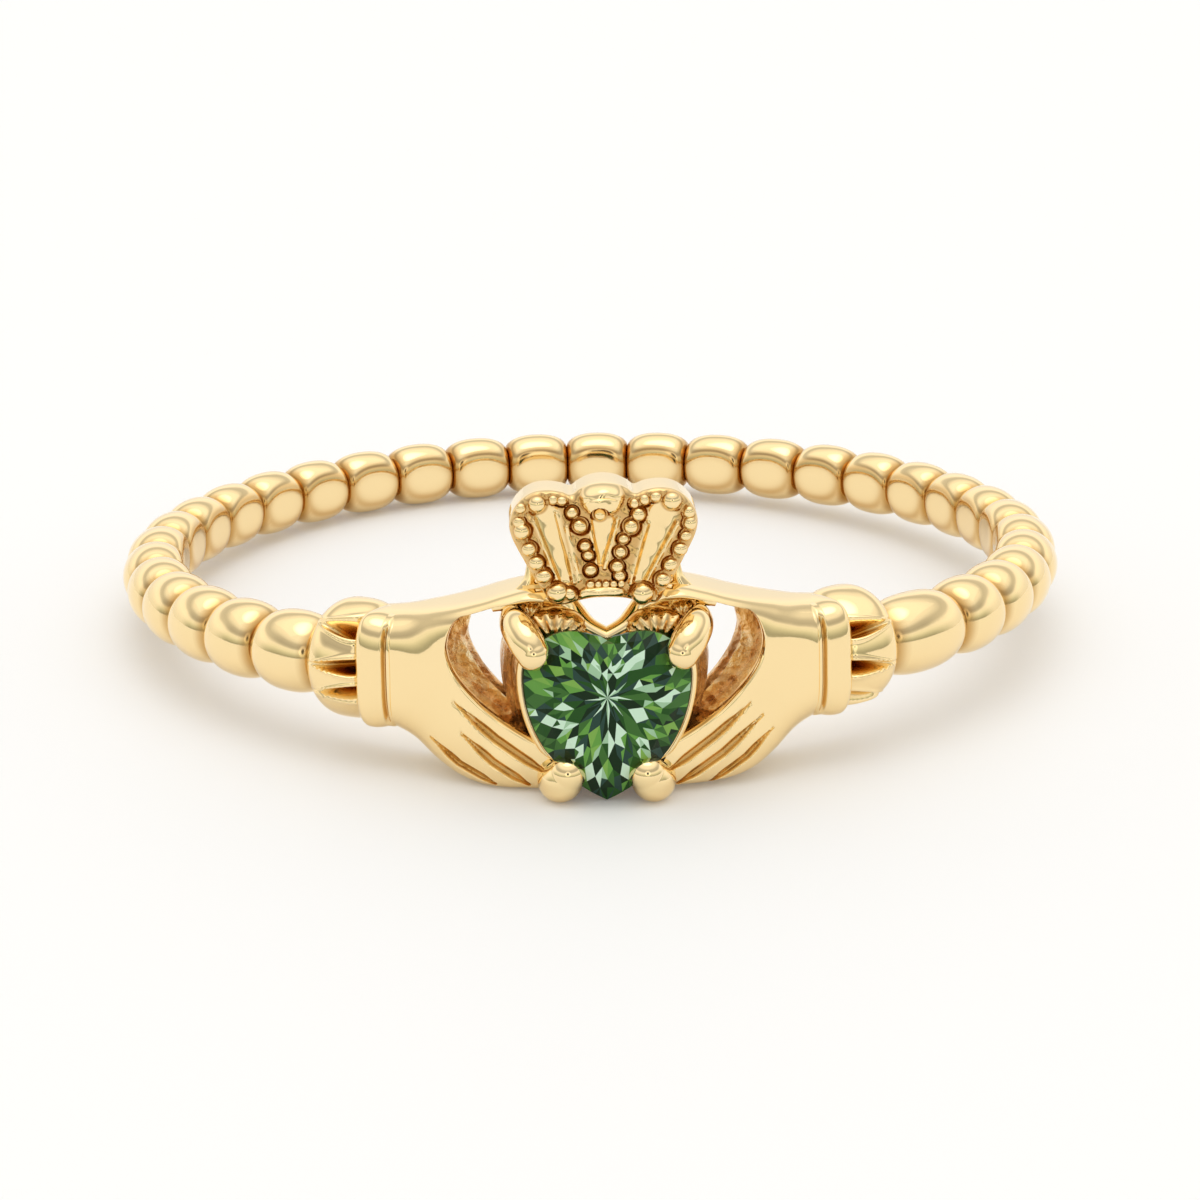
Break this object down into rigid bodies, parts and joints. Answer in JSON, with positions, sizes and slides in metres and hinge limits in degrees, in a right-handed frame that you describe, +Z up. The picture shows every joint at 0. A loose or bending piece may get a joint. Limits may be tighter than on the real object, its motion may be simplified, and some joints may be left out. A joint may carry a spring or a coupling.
{
  "type": "claddagh ring",
  "caption": "Gold claddagh ring lying on its side: cuffed hands hold a claw-set green heart stone under a crown, on a band of barrel beads.",
  "frame": {"origin": "middle of the ring's footprint on the surface it lies on, as laid down on its side", "axes": "+Z up, close to the finger's axis; -Y towards the head with the heart and the crown, +Y towards the plain back of the band; +X to the viewer's right of the head"},
  "size_m": [0.0204, 0.0218, 0.0064],
  "materials": {
    "gold": "polished yellow gold, about 14 karat",
    "green_stone": "faceted and polished green stone"
  },
  "bodies": {
    "root": {"ring_casting": "gold", "heart_stone": "green_stone"}
  },
  "joints": []
}
